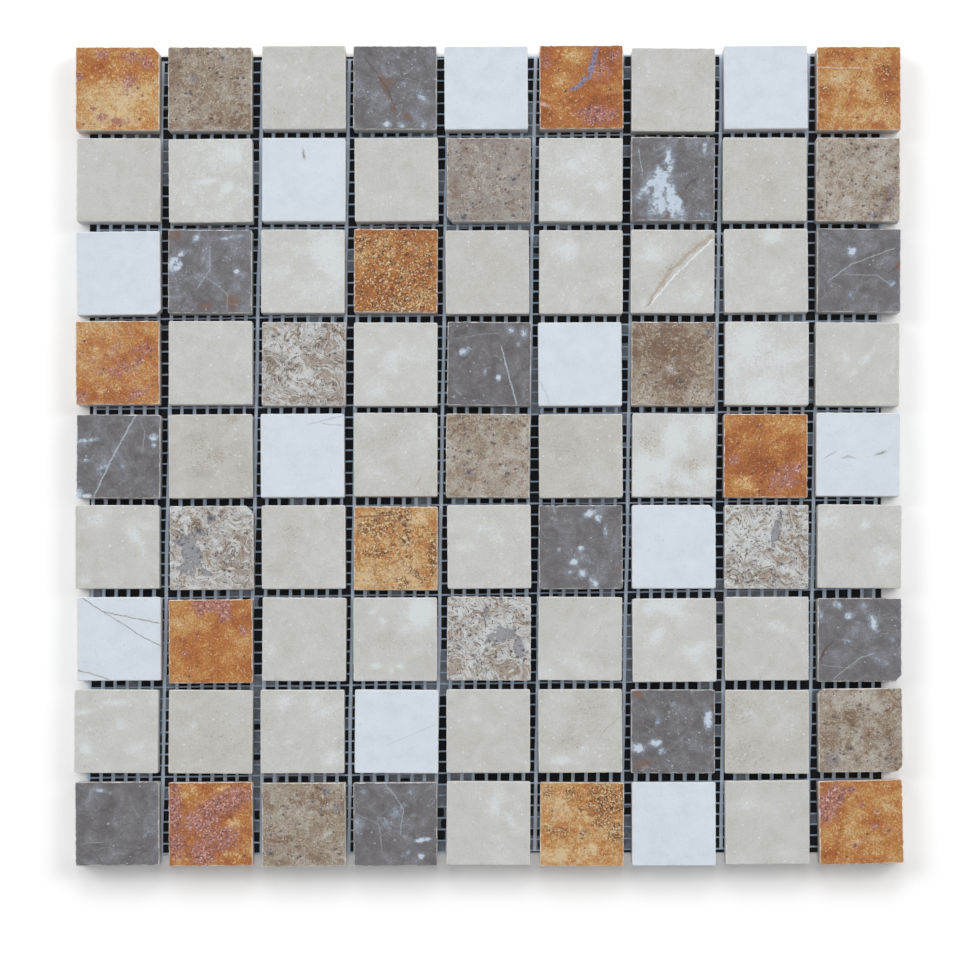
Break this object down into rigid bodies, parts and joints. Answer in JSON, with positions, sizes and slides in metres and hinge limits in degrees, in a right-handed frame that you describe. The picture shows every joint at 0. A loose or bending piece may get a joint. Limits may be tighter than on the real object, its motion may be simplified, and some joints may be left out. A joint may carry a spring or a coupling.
{
  "type": "mosaic tile sheet",
  "caption": "Square sheet of small natural stone mosaic chips in mixed cream, white, grey, gold and brown, glued face up on an open glass-fibre mesh for bedding in tile adhesive.",
  "frame": {"origin": "under the middle of the sheet, on the surface that its mesh lies on", "axes": "+Z out of the stones' faces, +X along a row of chips, +Y up a column of chips"},
  "size_m": [0.2982, 0.2955, 0.0085],
  "materials": {
    "cream_marble": "matte",
    "white_limestone": "matte",
    "grey_marble": "matte",
    "gold_travertine": "matte",
    "brown_travertine": "matte",
    "mottled_travertine": "matte",
    "glass_fibre_yarn": "satin"
  },
  "bodies": {
    "root": {"cream_marble_chips": "cream_marble", "white_limestone_chips": "white_limestone", "grey_marble_chips": "grey_marble", "gold_travertine_chips": "gold_travertine", "brown_travertine_chips": "brown_travertine", "mottled_travertine_chips": "mottled_travertine", "mesh_broad_yarns": "glass_fibre_yarn", "mesh_thin_yarns": "glass_fibre_yarn"}
  },
  "joints": []
}
